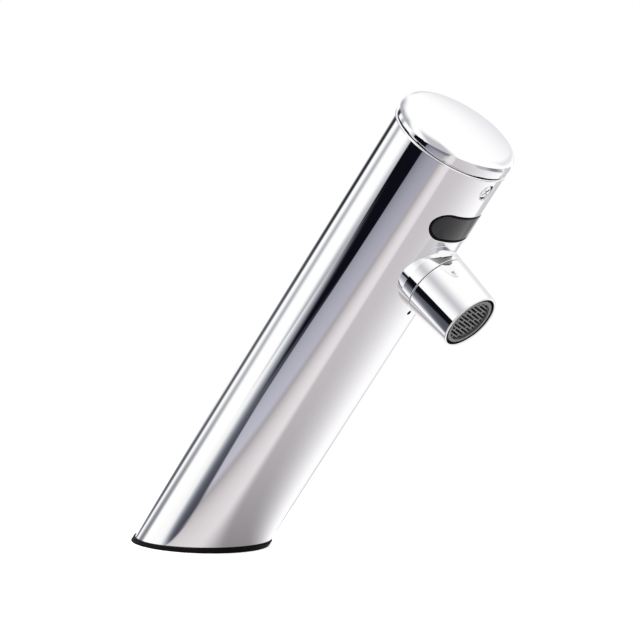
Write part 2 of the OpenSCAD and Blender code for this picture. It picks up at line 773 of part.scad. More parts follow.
// Brass fitting on the foot block: it holds the check valve and takes the inlet pipe
module inlet_fitting() {
    bottom_z = fitting_seat_z + strainer_t + 2 * face_gap;
    color("goldenrod") translate([0, inlet_y, 0]) difference() {
        union() {
            translate([0, 0, bottom_z])
                cylinder(r = fitting_spigot_r - fit_gap, h = floor_z - bottom_z + 1);
            translate([0, 0, floor_z + face_gap]) cylinder(r = fitting_d / 2, h = fitting_h - face_gap);
        }
        cylinder(r = seat_r, h = check_seat_z + 1);
        translate([0, 0, check_seat_z]) cylinder(r = check_chamber_r, h = spider_z - check_seat_z);
        cylinder(r = stem_r + run_gap, h = far);
        for (turn = [0:90:270]) rotate(turn) translate([3.3, 0, check_seat_z])
            cylinder(r = 1.5, h = pipe_socket_z - check_seat_z);
        translate([0, 0, spider_z + spider_t]) cylinder(r = pipe_bore_d / 2, h = far);
        translate([0, 0, pipe_socket_z]) cylinder(r = socket_r, h = far);
    }
}

module inlet_strainer() {
    color("lightgray") translate([0, inlet_y, fitting_seat_z + face_gap]) difference() {
        cylinder(r = fitting_spigot_r - 0.1, h = strainer_t);
        for (i = [-2:2]) for (j = [-2:2]) if (i * i + j * j < 6)
            translate([i * 1.3, j * 1.3, -1]) cylinder(r = 0.4, h = 3, $fn = 8);
    }
}

module check_poppet() {
    color("ivory") translate([0, inlet_y, check_seat_z + face_gap]) {
        cylinder(r = poppet_r, h = poppet_t);
        cylinder(r = stem_r, h = spider_z + spider_t - check_seat_z + 0.6);
    }
}

module check_spring() {
    spring_z = check_seat_z + poppet_t + 2 * face_gap;
    color("silver") translate([0, inlet_y, spring_z])
        coil_spring(r = 2.3, wire_r = 0.3, length = spider_z - face_gap - spring_z, turns = 5);
}

module valve_body() {
    channel_s = valve_s + floor_t;
    inlet_reach_s = valve_top - annulus_t / 2;
    color([0.2, 0.2, 0.22]) lean() difference() {
        rod(loose_r, valve_s, valve_top);
        rod(socket_r, valve_s - 1, valve_s + socket_l, inlet_pipe_y);
        rod(pipe_bore_d / 2, valve_s, inlet_reach_s, inlet_pipe_y);
        rod(groove_r, valve_s + seal_inset, valve_s + seal_inset + groove_t, inlet_pipe_y);
        rod(socket_r, valve_top - socket_l, valve_top + 1, -outlet_pipe_front);
        rod(groove_r, valve_top - seal_inset - groove_t, valve_top - seal_inset, -outlet_pipe_front);
        rod(pipe_bore_d / 2, channel_s, valve_top, -outlet_pipe_front);
        translate([0, valve_back, channel_s]) rotate([90, 0, 0])
            cylinder(r = pipe_bore_d / 2 - 0.2, h = valve_back + outlet_pipe_front);
        rod(seat_r, channel_s, valve_top + 1, valve_back);
        translate([0, valve_back, 0]) {
            ring(seat_r + 1.5, annulus_r, valve_top - annulus_t, valve_top + 1);
            rod(annulus_r - 1, seat_s, valve_top + 1);
        }
        for (x = [-1, 1]) for (y = [-1, 1])
            translate([x * bonnet_screw_x, valve_back + y * bonnet_screw_y, 0])
                rod(bonnet_screw_r, valve_top - bonnet_screw_l - 1, valve_top + 1);
    }
}

module diaphragm() {
    color([0.12, 0.12, 0.12]) lean() translate([0, valve_back, 0])
        ring(disc_r + fit_gap, membrane_r, valve_top, valve_top + membrane_t);
}

module diaphragm_disc() {
    color("ivory") lean() translate([0, valve_back, 0]) difference() {
        union() {
            rod(disc_r, disc_s, disc_top);
            rod(1.6, disc_top - 0.1, disc_top + nub_h);
        }
        rod(0.6, disc_s - 1, disc_top + 1);
    }
}

module valve_bonnet() {
    plate_w = 2 * bonnet_screw_x + 5.4;
    plate_d = 2 * bonnet_screw_y + 5;
    color([0.3, 0.3, 0.33]) lean() translate([0, valve_back, 0]) difference() {
        union() {
            rod(membrane_r + 0.8, bonnet_s, bonnet_s + bonnet_flange_t);
            intersection() {
                translate([-plate_w / 2, -plate_d / 2, bonnet_s]) cube([plate_w, plate_d, bonnet_flange_t]);
                rod(loose_r, bonnet_s, bonnet_s + bonnet_flange_t, -valve_back);
            }
            rod(chamber_r + 1.7, bonnet_s, bonnet_top);
        }
        rod(chamber_r, bonnet_s - 1, bonnet_s + chamber_h);
        rod(core_r + fit_gap, bonnet_s, bonnet_top + 1);
        for (x = [-1, 1]) for (y = [-1, 1])
            rod(bonnet_screw_r + 0.1, bonnet_s - 1, bonnet_top, y * bonnet_screw_y, x * bonnet_screw_x);
    }
}

module bonnet_screws() {
    head_s = bonnet_s + bonnet_flange_t + face_gap;
    color("lightgray") lean() for (x = [-1, 1]) for (y = [-1, 1])
        translate([x * bonnet_screw_x, valve_back + y * bonnet_screw_y, 0]) {
            rod(bonnet_screw_r - fit_gap, valve_top - bonnet_screw_l, head_s);
            difference() {
                rod(bonnet_head_r, head_s, head_s + 2.4);
                translate([0, 0, head_s + 1.2]) cylinder(r = 1.44, h = 2, $fn = 6);
            }
        }
}

// Closed steel tube that the plunger slides in; its flange lies under the bonnet
module core_tube() {
    flange_top = bonnet_s + chamber_h - face_gap;
    color("silver") lean() translate([0, valve_back, 0]) difference() {
        union() {
            rod(core_r + 2, flange_top - 1.25, flange_top);
            rod(core_r, flange_top - 1.25, core_top);
            rod(3, core_top - 0.1, core_top + 5);
        }
        rod(core_bore_r, flange_top - 3, core_end);
    }
}

module plunger() {
    color("gray") lean() translate([0, valve_back, plunger_tip]) difference() {
        union() {
            cylinder(r1 = 1.1, r2 = 2.6, h = 1);
            translate([0, 0, 1]) cylinder(r = plunger_r, h = plunger_l - 1);
        }
        translate([0, 0, plunger_l - spring_pocket]) cylinder(r = 2.95, h = spring_pocket + 1);
    }
}

module plunger_spring() {
    color("silver") lean() translate([0, valve_back, spring_s])
        coil_spring(r = 2.4, wire_r = 0.25, length = spring_l, turns = 9);
}

module solenoid_coil() {
    cheek_t = 1.2;
    color([0.1, 0.12, 0.2]) lean() translate([0, valve_back, coil_s]) difference() {
        union() {
            cylinder(r = coil_r, h = cheek_t);
            cylinder(r = coil_r - 0.8, h = coil_h);
            translate([0, 0, coil_h - cheek_t]) cylinder(r = coil_r, h = cheek_t);
        }
        translate([0, 0, -1]) cylinder(r = core_r + 2 * fit_gap, h = coil_h + 2);
    }
}

module coil_terminals() {
    color("khaki") lean() for (x = [-3, 3])
        translate([x - 1.4, valve_back + coil_r - 1.7, coil_top + face_gap]) cube([2.8, 0.8, 6]);
}

// Bent steel strap round the coil
module coil_yoke() {
    side_x = coil_r + loose_gap;
    yoke_h = yoke_top - yoke_s;
    color("dimgray") lean() translate([0, valve_back, 0]) difference() {
        translate([-side_x - yoke_t, -yoke_w / 2, yoke_s]) cube([2 * (side_x + yoke_t), yoke_w, yoke_h]);
        translate([-side_x, -yoke_w, yoke_s + yoke_t]) cube([2 * side_x, 2 * yoke_w, yoke_h - 2 * yoke_t]);
        rod(core_r + 2 * fit_gap, yoke_s - 1, yoke_top + 1);
    }
}

module coil_nut() {
    nut_r = 5.77;
    nut_h = 4;
    nut_hole_r = 3 + fit_gap;
    color("silver") lean() translate([0, valve_back, core_top + face_gap]) difference() {
        cylinder(r = nut_r, h = nut_h, $fn = 6);
        translate([0, 0, -1]) cylinder(r = nut_hole_r, h = nut_h + 2);
    }
}

body_tube();
foot_block();
base_pad();
cable_grommet();
top_cap();
cap_seal();
cap_screw();
sensor_window();
window_seal();
sensor_housing();
ir_emitter();
ir_receiver();
sensor_board();
board_screws();
spout_collar();
spout_nipple();
spout_washer();
waterway_block();
aerator_housing();
aerator_grille();
aerator_screen();
aerator_mixer();
flow_regulator();
aerator_washer();
outlet_pipe();
inlet_pipe();
pipe_seals();
inlet_fitting();
inlet_strainer();
check_poppet();
check_spring();
valve_body();
diaphragm();
diaphragm_disc();
valve_bonnet();
bonnet_screws();
core_tube();
plunger();
plunger_spring();
solenoid_coil();
coil_terminals();
coil_yoke();
coil_nut();
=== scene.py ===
import json
from math import atan2, cos, pi, radians, sin, sqrt

import bpy
import numpy as np
from mathutils import Matrix, Vector
from mathutils.geometry import delaunay_2d_cdt


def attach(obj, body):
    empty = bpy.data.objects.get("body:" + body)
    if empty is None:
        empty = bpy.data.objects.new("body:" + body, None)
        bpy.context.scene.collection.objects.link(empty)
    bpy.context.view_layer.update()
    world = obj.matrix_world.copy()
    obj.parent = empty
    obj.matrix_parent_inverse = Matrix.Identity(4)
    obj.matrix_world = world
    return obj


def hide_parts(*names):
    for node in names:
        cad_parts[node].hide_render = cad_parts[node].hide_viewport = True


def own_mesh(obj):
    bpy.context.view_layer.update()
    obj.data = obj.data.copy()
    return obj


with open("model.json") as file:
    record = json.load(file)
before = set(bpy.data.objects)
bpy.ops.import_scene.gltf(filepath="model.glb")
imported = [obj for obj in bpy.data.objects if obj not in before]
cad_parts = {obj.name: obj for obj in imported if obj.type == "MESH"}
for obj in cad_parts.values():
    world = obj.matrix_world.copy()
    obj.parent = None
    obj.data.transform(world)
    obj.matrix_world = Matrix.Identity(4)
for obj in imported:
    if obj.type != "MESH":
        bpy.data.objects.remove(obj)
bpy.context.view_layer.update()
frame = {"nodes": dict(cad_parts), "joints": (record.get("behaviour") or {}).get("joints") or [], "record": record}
nodes = frame["nodes"]
joints = {j["name"]: j for j in frame["joints"]}
scene = bpy.context.scene
MM = 0.001

# Axes of the part, from its joints, and the middle of the outlet
SIDE = Vector((1, 0, 0))
FRONT = Vector(joints["cap_screw_turn"]["axis"]).normalized()
UP = FRONT.cross(SIDE)
OUT = Vector(joints["aerator_turn"]["axis"]).normalized()
SPOUT_REACH = 50.0
OUTLET = Vector(joints["aerator_turn"]["pos_m"]) / MM + OUT * SPOUT_REACH

# The tube, in millimetres. Heights along its axis end in _S, and SCREW_SEAT is a distance from the axis.
TUBE_R, BORE_R, TUBE_TOP_S = 25.0, 21.5, 216.5
WINDOW_S, SCREW_S, WEEP_S, SPOUT_S = 192.3, 210.6, 150.5, 168.7
PAD_TOP = 2.0
SCREW_SEAT = 22.7
SPOUT_BORE_R = 7.1

# Spacing of the points that fill a wall with holes in it
FILL_STEP = 1.5
# Mirrors see the studio a little brighter, which makes up for what the chrome swallows
MIRROR_LIFT = 1.06
# The deck lies this far under the foot
DECK_GAP = 0.05


def camera():
    """The photograph's view: azimuth and elevation of the camera round the aim point, and its distance."""
    azimuth, elevation, distance = radians(-50.096), radians(4.405), 0.943254
    middle = Vector((0, -0.05, 0.08))
    aside, above = 0.01288, 0.017294
    back = Vector((sin(azimuth) * cos(elevation), -cos(azimuth) * cos(elevation), sin(elevation)))
    right = Vector((cos(azimuth), sin(azimuth), 0))
    up = back.cross(right)
    data = bpy.data.cameras.new("camera")
    data.sensor_width = 36
    data.lens = 129.375
    data.clip_start = 0.05
    data.clip_end = 50
    obj = bpy.data.objects.new("camera", data)
    place = middle + aside * right + above * up + distance * back
    obj.matrix_world = Matrix.Translation(place) @ Matrix((right, up, back)).transposed().to_4x4()
    scene.collection.objects.link(obj)
    scene.camera = obj
    scene.view_settings.view_transform = "Standard"


def linear(tones):
    """Linear colours of screen tones from 0 to 255."""
    tones = np.clip(np.array(tones, float), 0, 255) / 255
    return np.where(tones <= 0.04045, tones / 12.92, ((tones + 0.055) / 1.055) ** 2.4)


def smooth(value, low, high):
    """0 below low and 1 above high, with a soft rise between them."""
    t = np.clip((value - low) / (high - low), 0, 1)
    return t * t * (3 - 2 * t)


def tint(levels, green, blue, clear=255.0):
    """Linear colours of grey screen tones with green and blue added, which fade out by the clear level."""
    fade = 90
    levels = np.asarray(levels, float)
    part = 1 - smooth(levels, clear - fade, clear)
    return linear(np.stack([levels, levels + green * part, levels + blue * part], -1))


# Materials


class Nodes:
    """A node tree with short ways to add and join nodes."""

    def __init__(self, owner):
        owner.use_nodes = True
        self.tree = owner.node_tree
        self.tree.nodes.clear()

    def add(self, kind, values=None, **settings):
        """A new node, with a value or another node's output for each of its inputs that is named."""
        node = self.tree.nodes.new(kind)
        for name, value in settings.items():
            setattr(node, name, value)
        for name, value in (values or {}).items():
            if isinstance(value, bpy.types.NodeSocket):
                self.tree.links.new(value, node.inputs[name])
            else:
                node.inputs[name].default_value = value
        return node

    def math(self, operation, a, b=0.0, c=0.0):
        return self.add("ShaderNodeMath", {0: a, 1: b, 2: c}, operation=operation).outputs[0]

    def smooth(self, value, low, high, start=0.0, end=1.0):
        ends = {"Value": value, "From Min": low, "From Max": high, "To Min": start, "To Max": end}
        return self.add("ShaderNodeMapRange", ends, interpolation_type="SMOOTHSTEP").outputs[0]

    def mix(self, factor, a, b):
        values = {0: factor, 6: a, 7: b}
        return self.add("ShaderNodeMix", values, data_type="RGBA").outputs[2]

    def blend(self, factor, a, b):
        """Mixes two shader nodes."""
        return self.add("ShaderNodeMixShader", {0: factor, 1: a.outputs[0], 2: b.outputs[0]})

    def noise(self, scale, detail, where):
        values = {"Scale": scale, "Detail": detail, "Vector": where}
        return self.add("ShaderNodeTexNoise", values).outputs[0]

    def place(self, scale=(1, 1, 1)):
        """Object coordinates, stretched."""
        where = self.add("ShaderNodeTexCoord").outputs["Object"]
        return self.add("ShaderNodeMapping", {"Vector": where, "Scale": scale}).outputs[0]

    def bump(self, height, distance, strength):
        values = {"Height": height, "Distance": distance, "Strength": strength}
        return self.add("ShaderNodeBump", values).outputs[0]


def colour(rgb):
    return (*rgb, 1.0)


def chrome():
    """Polished chrome: a clean mirror with a trace of polishing marks."""
    material = bpy.data.materials.new("chrome")
    n = Nodes(material)
    smear = n.noise(90, 4, n.place((1, 1, 0.25)))
    shader = n.add("ShaderNodeBsdfPrincipled", {
        "Base Color": colour((0.94, 0.94, 0.945)),
        "Metallic": 1.0,
        "Roughness": n.smooth(smear, 0.35, 0.75, 0.018, 0.045)})
    n.add("ShaderNodeOutputMaterial", {0: shader.outputs[0]})
    return material


def metal(name, rgb, roughness):
    """Turned or drawn metal with a fine grain and slight tarnish."""
    material = bpy.data.materials.new(name)
    n = Nodes(material)
    where = n.place()
    fine = n.noise(900, 2, where)
    broad = n.noise(60, 4, where)
    dull = tuple(0.82 * c for c in rgb)
    shader = n.add("ShaderNodeBsdfPrincipled", {
        "Base Color": n.mix(n.smooth(broad, 0.4, 0.7), colour(rgb), colour(dull)),
        "Metallic": 1.0,
        "Roughness": n.smooth(broad, 0.3, 0.7, roughness * 0.8, roughness * 1.25),
        "Normal": n.bump(fine, 0.00004, 0.5)})
    n.add("ShaderNodeOutputMaterial", {0: shader.outputs[0]})
    return material


def moulded(name, rgb, roughness, grain=0.00003, ior=1.5):
    """Moulded plastic or rubber with a fine skin texture."""
    material = bpy.data.materials.new(name)
    n = Nodes(material)
    where = n.place()
    fine = n.noise(1500, 3, where)
    broad = n.noise(70, 4, where)
    pale = tuple(min(1, c * 1.25 + 0.001) for c in rgb)
    shader = n.add("ShaderNodeBsdfPrincipled", {
        "Base Color": n.mix(n.smooth(broad, 0.45, 0.75), colour(rgb), colour(pale)),
        "Roughness": n.smooth(broad, 0.3, 0.7, roughness * 0.85, min(1, roughness * 1.15)),
        "IOR": ior,
        "Normal": n.bump(fine, grain, 0.6)})
    n.add("ShaderNodeOutputMaterial", {0: shader.outputs[0]})
    return material


# Forms


class Skin:
    """Points in millimetres, and faces with a normal at each corner, so that curved metal mirrors cleanly."""

    def __init__(self):
        self.points, self.faces, self.normals, self.marks = [], [], [], []

    def loop(self, places):
        first = len(self.points)
        self.points.extend(Vector(p) for p in places)
        return list(range(first, len(self.points)))

    def face(self, corners, normals, mark=0):
        """Adds a face, wound so that it looks the way its normals do. The mark is its material's place."""
        corners, normals = list(corners), [Vector(n) for n in normals]
        if len(set(corners)) < 3:
            return
        a, b, c = (self.points[i] for i in (corners[0], corners[1], corners[-1]))
        looks = (b - a).cross(c - a)
        if len(corners) == 4:
            looks += (self.points[corners[2]] - b).cross(a - b)
        if looks.dot(sum(normals, Vector())) < 0:
            corners.reverse()
            normals.reverse()
        self.faces.append(corners)
        self.normals.append(normals)
        self.marks.append(mark)

    def band(self, a, b, normals_a, normals_b, mark=0):
        """A strip of faces between two closed loops."""
        count = len(a)
        for i in range(count):
            j = (i + 1) % count
            corners = [a[i], a[j], b[j], b[i]]
            normals = [normals_a[i], normals_a[j], normals_b[j], normals_b[i]]
            kept = [k for k in range(4) if corners[k] not in corners[:k]]
            self.face([corners[k] for k in kept], [normals[k] for k in kept], mark)

    def build(self, name, materials, slot, body, *replaced):
        mesh = bpy.data.meshes.new(name)
        mesh.from_pydata([tuple(p * MM) for p in self.points], [], self.faces)
        mesh.polygons.foreach_set("use_smooth", [True] * len(self.faces))
        mesh.polygons.foreach_set("material_index", self.marks)
        mesh.normals_split_custom_set([tuple(n.normalized()) for face in self.normals for n in face])
        mesh.validate()
        for material in materials:
            mesh.materials.append(material)
        obj = bpy.data.objects.new(name, mesh)
        scene.collection.objects.link(obj)
        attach(obj, body)
        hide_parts(*replaced)
        return obj


def fillet(corners, closed):
    """Rounds the corners (x, y, radius) of an outline that has its outside on the right of its way.

    It gives (x, y, normal x, normal y) at each end of each straight part and round each arc.
    """
    arc_step = radians(12)
    stations = []
    count = len(corners)
    for i, (x, y, radius) in enumerate(corners):
        here = np.array([x, y], float)
        before = np.array(corners[i - 1][:2], float)
        after = np.array(corners[(i + 1) % count][:2], float)
        first, last = not closed and i == 0, not closed and i == count - 1
        way_in = after - here if first else here - before
        way_out = here - before if last else after - here
        room = 0.49 * min(np.hypot(*way_in), np.hypot(*way_out))
        way_in, way_out = way_in / np.hypot(*way_in), way_out / np.hypot(*way_out)
        sides = [np.array([w[1], -w[0]]) for w in (way_in, way_out)]
        turn = np.arctan2(way_in[0] * way_out[1] - way_in[1] * way_out[0], way_in @ way_out)
        if abs(turn) < 0.001:
            stations.append((*here, *sides[0]))
        elif radius == 0:
            stations.extend((*here, *side) for side in sides)
        else:
            radius = min(radius, room / np.tan(abs(turn) / 2))
            start = here - way_in * radius * np.tan(abs(turn) / 2)
            outward = 1 if turn > 0 else -1
            steps = max(3, int(np.ceil(abs(turn) / arc_step)))
            for k in range(steps + 1):
                a = turn * k / steps
                side = np.array([sides[0][0] * np.cos(a) - sides[0][1] * np.sin(a),
                                 sides[0][0] * np.sin(a) + sides[0][1] * np.cos(a)])
                stations.append((*(start + (side - sides[0]) * radius * outward), *side))
    return stations


class Turned:
    """A turned form round an axis: the place and the normal of a station (radius, height) at each column.

    A station whose height is end lies where cut says, on a surface that isn't square to the axis.
    """

    def __init__(self, origin, axis, across, columns, cut=None, end=None):
        self.origin, self.axis, self.x = origin, axis, across
        self.y = axis.cross(across)
        self.angles = [2 * pi * k / columns - pi for k in range(columns)]
        self.cut, self.end = cut, end

    def radial(self, angle):
        return self.x * cos(angle) + self.y * sin(angle)

    def place(self, radius, height, angle):
        if self.cut and height == self.end:
            radius, height = self.cut(radius, angle)
        return self.origin + self.axis * height + self.radial(angle) * radius

    def skin(self, skin, stations, closed, pierced=None, mark=None):
        """Sweeps the stations round the axis. It returns the first and the last loop.

        For two stations, pierced gives the reach and the holes of the wall between them, and mark gives the
        wall's place among the piece's materials.
        """
        loops, count = [], len(stations)
        for k, (radius, height, *_) in enumerate(stations):
            here = (radius, height)
            if k and np.allclose(stations[k - 1][:2], here, atol=1e-9):
                loops.append(loops[-1])
            elif closed and k == count - 1 and np.allclose(stations[0][:2], here, atol=1e-9):
                loops.append(loops[0])
            elif radius < 1e-6:
                loops.append(skin.loop([self.place(0, height, 0)]) * len(self.angles))
            else:
                loops.append(skin.loop(self.place(radius, height, a) for a in self.angles))
        for k in range(count if closed else count - 1):
            j = (k + 1) % count
            if loops[k] is loops[j]:
                continue
            ends = [[self.radial(a) * s[2] + self.axis * s[3] for a in self.angles]
                    for s in (stations[k], stations[j])]
            finish = mark(stations[k], stations[j]) if mark else 0
            holes = pierced(stations[k], stations[j]) if pierced else None
            if holes:
                self.pierce(skin, loops[k], loops[j], stations[k], stations[j], *holes)
            else:
                skin.band(loops[k], loops[j], *ends, finish)
        return loops[0], loops[-1]

    def pierce(self, skin, a, b, station_a, station_b, reach, holes):
        """A straight wall between two loops with holes in it, all within an angle of the middle column."""
        radius, side = station_a[0], station_a[2]
        count = len(self.angles)
        inside = [k for k in range(count) if abs(self.angles[k]) <= reach + 1e-9]
        for k in range(count):
            j = (k + 1) % count
            if k in inside and j in inside:
                continue
            n = [self.radial(self.angles[i]) * side for i in (k, j, j, k)]
            skin.face([a[k], a[j], b[j], b[k]], n)
        outline = [(a[k], radius * self.angles[k], station_a[1]) for k in inside]
        outline += [(b[k], radius * self.angles[k], station_b[1]) for k in reversed(inside)]
        self.fill(skin, radius, outline, holes, side)

    def fill(self, skin, radius, outline, holes, side):
        """Fills an outline on a cylinder round the holes in it. Loops are lists of (point, arc, height)."""
        def within(u, v, loop):
            hit = False
            for (_, u0, v0), (_, u1, v1) in zip(loop, loop[1:] + loop[:1]):
                if (v0 > v) != (v1 > v) and u < u0 + (u1 - u0) * (v - v0) / (v1 - v0):
                    hit = not hit
            return hit

        def solid(u, v):
            return within(u, v, outline) and not any(within(u, v, h) for h in holes)

        loops = [outline] + holes
        rim = np.array([(u, v) for loop in loops for _, u, v in loop])
        ids = [i for loop in loops for i, _, _ in loop]
        edges, first = [], 0
        for loop in loops:
            size = len(loop)
            edges += [(first + k, first + (k + 1) % size) for k in range(size)]
            first += size
        low, high = rim.min(0), rim.max(0)
        for u in np.arange(low[0] + FILL_STEP / 2, high[0], FILL_STEP):
            for v in np.arange(low[1] + FILL_STEP / 2, high[1], FILL_STEP):
                if np.hypot(*(rim - (u, v)).T).min() < FILL_STEP * 0.4:
                    continue
                if solid(u, v):
                    ids += skin.loop([self.place(radius, v, u / radius)])
                    rim = np.vstack([rim, (u, v)])
        flat, _, faces, source, _, _ = delaunay_2d_cdt([Vector(p) for p in rim], edges, [], 0, 1e-6)
        for face in faces:
            middle = sum((flat[i] for i in face), Vector((0, 0))) / len(face)
            if solid(*middle):
                corners = [source[i][0] for i in face]
                normals = [self.radial(rim[i][0] / radius) * side for i in corners]
                skin.face([ids[i] for i in corners], normals)


def on_wall(start, way, radius):
    """Where a line from inside the tube meets a cylinder round the tube's axis."""
    q, e = start - UP * start.dot(UP), way - UP * way.dot(UP)
    along = (-q.dot(e) + sqrt(q.dot(e) ** 2 - e.dot(e) * (q.dot(q) - radius ** 2))) / e.dot(e)
    return start + way * along


def stadium(width, height):
    """A slot's outline, as (across, along, normal across, normal along)."""
    arc_steps, straight_steps = 16, 12
    r, half = height / 2, (width - height) / 2
    outline = []
    for side in (1, -1):
        for k in range(arc_steps + 1):
            a = pi * k / arc_steps - pi / 2
            outline.append((side * (half + r * cos(a)), side * r * sin(a), side * cos(a), side * sin(a)))
        for k in range(1, straight_steps):
            outline.append((side * (half - 2 * half * k / straight_steps), side * r, 0, side))
    return outline


def circle(radius, count=40):
    """A round outline, as (across, along, normal across, normal along)."""
    return [(radius * cos(2 * pi * k / count), radius * sin(2 * pi * k / count),
             cos(2 * pi * k / count), sin(2 * pi * k / count)) for k in range(count)]


class Hole:
    """An outline pushed straight along a way through walls that curve round the tube's axis."""

    def __init__(self, skin, height, way, outline):
        self.skin, self.middle, self.way, self.outline = skin, UP * height, way, outline
        self.across, self.along = SIDE, way.cross(SIDE)

    def out(self, k, grow):
        """The outline's point k, moved out by a distance."""
        a, b, na, nb = self.outline[k]
        return self.middle + self.across * (a + na * grow) + self.along * (b + nb * grow)

    def normal(self, k):
        return self.across * self.outline[k][2] + self.along * self.outline[k][3]

    def ring(self, radius, grow=0.0, sunk=0.0, flat=None):
        """A loop on the wall of this radius, or at a flat distance from the axis.

        It returns the loop, and its entries for a fill.
        """
        places = []
        for k in range(len(self.outline)):
            start = self.out(k, grow)
            if flat:
                places.append(start + self.way * flat)
            else:
                places.append(on_wall(start, self.way, radius) - self.way * sunk)
        loop = self.skin.loop(places)
        entries = []
        for i, p in zip(loop, places):
            entries.append((i, radius * atan2(p.dot(SIDE), p.dot(FRONT)), p.dot(UP)))
        return loop, entries

    def edge(self, radius, round_r, side=1):
        """A rounded edge where the hole leaves a wall, or a plug does if the side is -1.

        It returns the fill's entries, and the loop in the hole.
        """
        steps = 3
        loops, count = [], len(self.outline)
        for j in range(steps + 1):
            a = pi / 2 * j / steps
            loop, entries = self.ring(radius, side * round_r * (1 - sin(a)), round_r * (1 - cos(a)))
            normals = []
            for k in range(count):
                p = self.skin.points[loop[k]]
                up = (p - UP * p.dot(UP)).normalized()
                normals.append(up * cos(a) - self.normal(k) * side * sin(a))
            loops.append((loop, normals))
            if j == 0:
                rim = entries
        for (a, na), (b, nb) in zip(loops, loops[1:]):
            self.skin.band(a, b, na, nb)
        return rim, loops[-1][0]

    def walls(self, a, b, side=-1, mark=0):
        normals = [self.normal(k) * side for k in range(len(self.outline))]
        self.skin.band(a, b, normals, normals, mark)


# Studio


def studio_world():
    """White for the camera, a soft level light on the part, and the studio's tones in its reflections."""
    world = bpy.data.worlds.new("studio")
    scene.world = world
    n = Nodes(world)
    ray = n.add("ShaderNodeLightPath").outputs
    way_in = n.add("ShaderNodeTexCoord").outputs["Generated"]
    way = n.add("ShaderNodeSeparateXYZ", {0: way_in}).outputs
    # Azimuth from -Y towards +X, from 0 to 360, and elevation, in degrees
    azimuth = n.math("MULTIPLY", n.math("ARCTAN2", way[0], n.math("MULTIPLY", way[1], -1.0)), 180 / pi)
    azimuth = n.math("WRAP", azimuth, 360.0, 0.0)
    elevation = n.math("MULTIPLY", n.math("ARCSINE", way[2]), 180 / pi)

    def leaning(slope):
        """An azimuth whose lines lean, by so many degrees for each degree of elevation."""
        return n.math("MULTIPLY_ADD", elevation, -slope, azimuth)

    def band(value, low, high, soft):
        rise = n.smooth(value, low - soft, low + soft)
        fall = n.smooth(value, high - soft, high + soft, 1.0, 0.0)
        return n.math("MULTIPLY", rise, fall)

    def patch(under, across, up, rgb):
        mask = n.math("MULTIPLY", band(*across), band(*up))
        return n.mix(mask, under, colour(linear(rgb)))

    seen = colour((1, 1, 1))
    # Behind the part: a pale grey gap that darkens lower down, and beside it a dark one, darker higher up
    seen = patch(seen, (leaning(1.2), 168, 180, 6), (elevation, -10, 26, 4), (176, 178, 184))
    seen = patch(seen, (leaning(1.2), 168, 180, 6), (elevation, -10, 6.5, 3), (126, 128, 135))
    seen = patch(seen, (leaning(0.8), 146.5, 160, 4), (elevation, -20, 40, 5), (92, 94, 102))
    seen = patch(seen, (leaning(0.8), 150.5, 159.5, 3), (elevation, 10, 40, 3), (44, 46, 54))
    # Edge of the left panel, and the dark room below it
    seen = patch(seen, (azimuth, 219, 240, 4), (elevation, -6, 4, 4), (176, 178, 184))
    seen = patch(seen, (azimuth, 229, 254, 1), (elevation, -30, 1.5, 0.6), (11, 11, 19))
    # Pale greys that draw the silhouettes and the far side of the cap
    seen = patch(seen, (azimuth, 112, 128, 6), (elevation, -30, 30, 8), (190, 190, 194))
    seen = patch(seen, (azimuth, 60, 128, 10), (elevation, 12, 30, 8), (228, 228, 232))
    # Grey walls up to 62 degrees, left out where the tube mirrors the studio in the photograph's view
    along = n.add("ShaderNodeVectorMath", {0: way_in, 1: tuple(UP)}, operation="DOT_PRODUCT")
    other = n.smooth(along.outputs["Value"], -0.36, -0.2)
    for low, high, rgb in ((142, 226, (176, 177, 184)), (266, 326, (190, 190, 196))):
        wall = n.math("MULTIPLY", band(azimuth, low, high, 12), n.smooth(elevation, 30, 62, 1.0, 0.0))
        seen = n.mix(n.math("MULTIPLY", wall, other), seen, colour(linear(rgb)))
    glossy = n.add("ShaderNodeBackground", {"Color": seen, "Strength": MIRROR_LIFT})
    plain = n.add("ShaderNodeBackground", {"Color": colour((1, 1, 1)), "Strength": 0.55})
    white = n.add("ShaderNodeBackground", {"Color": colour((1, 1, 1)), "Strength": 1.0})
    through = n.math("MAXIMUM", ray["Is Camera Ray"], ray["Is Transmission Ray"])
    lit = n.blend(ray["Is Glossy Ray"], plain, glossy)
    n.add("ShaderNodeOutputWorld", {0: n.blend(through, lit, white).outputs[0]})


